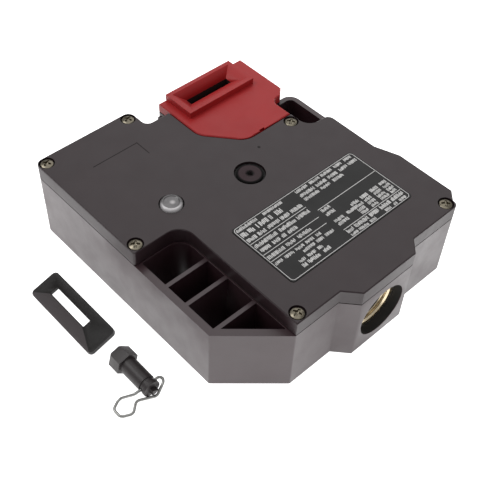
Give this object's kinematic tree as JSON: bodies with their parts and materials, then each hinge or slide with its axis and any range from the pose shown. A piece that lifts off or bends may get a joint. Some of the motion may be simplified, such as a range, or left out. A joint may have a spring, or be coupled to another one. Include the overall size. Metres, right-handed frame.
{
  "type": "tongue interlock switch",
  "caption": "Guard locking tongue interlock switch with a red entry head, notched cover, ribbed pockets, threaded conduit entry and a loose slot cap and release key.",
  "frame": {"origin": "axis of the lower mounting hole on the back face", "axes": "+X along the nameplate rules, +Y toward the head, +Z out of the cover"},
  "size_m": [0.1452, 0.1288, 0.0398],
  "materials": {
    "case_plastic": "satin moulded, lightly glossy side walls",
    "cover_plastic": "satin moulded",
    "gasket_rubber": "matte",
    "nameplate": "satin with pale rules",
    "lens_clear": "clear, polished",
    "led_clear": "clear",
    "board_green": "satin",
    "head_red": "satin moulded",
    "inner_dark": "satin",
    "inner_pale": "satin",
    "inner_red": "satin",
    "coil_tape": "satin tape",
    "steel": "ground",
    "zinc_steel": "zinc plated",
    "dark_screw": "dark bronze passivated",
    "brass": "turned",
    "black_plastic": "satin moulded"
  },
  "bodies": {
    "housing": {"base_case": "case_plastic", "top_cover": "cover_plastic", "cover_gasket": "gasket_rubber", "nameplate": "nameplate", "indicator_lens": "lens_clear", "indicator_board": "board_green", "indicator_led": "led_clear", "head_body": "head_red", "head_seal": "gasket_rubber", "cam_shaft": "steel", "rod_spring": "steel", "door_switch_block": "inner_pale", "solenoid_frame": "zinc_steel", "solenoid_core": "steel", "solenoid_coil": "coil_tape", "lock_spring": "steel", "lock_switch_block": "inner_pale", "terminal_block": "inner_pale", "conduit_insert": "brass", "side_plug": "black_plastic", "slot_cap": "black_plastic", "release_key": "black_plastic", "key_ring": "steel", "cover_screw_1": "dark_screw", "terminal_screw_1": "zinc_steel", "cover_screw_2": "dark_screw", "terminal_screw_2": "zinc_steel", "cover_screw_3": "dark_screw", "terminal_screw_3": "zinc_steel", "cover_screw_4": "dark_screw", "terminal_screw_4": "zinc_steel", "cover_screw_5": "dark_screw", "terminal_screw_5": "zinc_steel", "cover_screw_6": "dark_screw", "terminal_screw_6": "zinc_steel", "head_screw_1": "zinc_steel", "head_screw_2": "zinc_steel", "head_screw_3": "zinc_steel", "head_screw_4": "zinc_steel"},
    "cam": {"head_cam": "inner_dark"},
    "rod": {"operating_rod": "steel"},
    "door_contact": {"door_switch_plunger": "inner_red"},
    "release": {"release_disc": "cover_plastic"},
    "lock": {"lock_plunger": "steel"},
    "lock_contact": {"lock_switch_plunger": "inner_red"}
  },
  "joints": [
    {"name": "cam_turn", "type": "hinge", "parent": "housing", "child": "cam", "pos_m": [0.0692, 0.0709, 0.022], "axis": [-1, 0, 0], "range_deg": [0, 35]},
    {"name": "rod_slide", "type": "slide", "parent": "housing", "child": "rod", "axis": [0, -1, 0], "range_m": [0, 0.00473], "stiffness_N_per_m": 300, "springref_m": -0.003, "deforming": ["rod_spring"]},
    {"name": "door_contact_slide", "type": "slide", "parent": "housing", "child": "door_contact", "axis": [0, -1, 0], "range_m": [0, 0.00473]},
    {"name": "release_turn", "type": "hinge", "parent": "housing", "child": "release", "pos_m": [0.0481, 0.0359, 0.037], "axis": [0, 0, -1], "range_deg": [0, 90]},
    {"name": "lock_slide", "type": "slide", "parent": "housing", "child": "lock", "axis": [1, 0, 0], "range_m": [0, 0.0035], "deforming": ["lock_spring"]},
    {"name": "lock_contact_slide", "type": "slide", "parent": "housing", "child": "lock_contact", "axis": [1, 0, 0], "range_m": [0, 0.0035]}
  ],
  "couplings": [
    {"joint": "cam_turn", "follows": "rod_slide", "rad_per_m": 129.17},
    {"joint": "door_contact_slide", "follows": "rod_slide", "ratio": 1},
    {"joint": "release_turn", "follows": "lock_slide", "rad_per_m": 448.79},
    {"joint": "lock_contact_slide", "follows": "lock_slide", "ratio": 1}
  ]
}
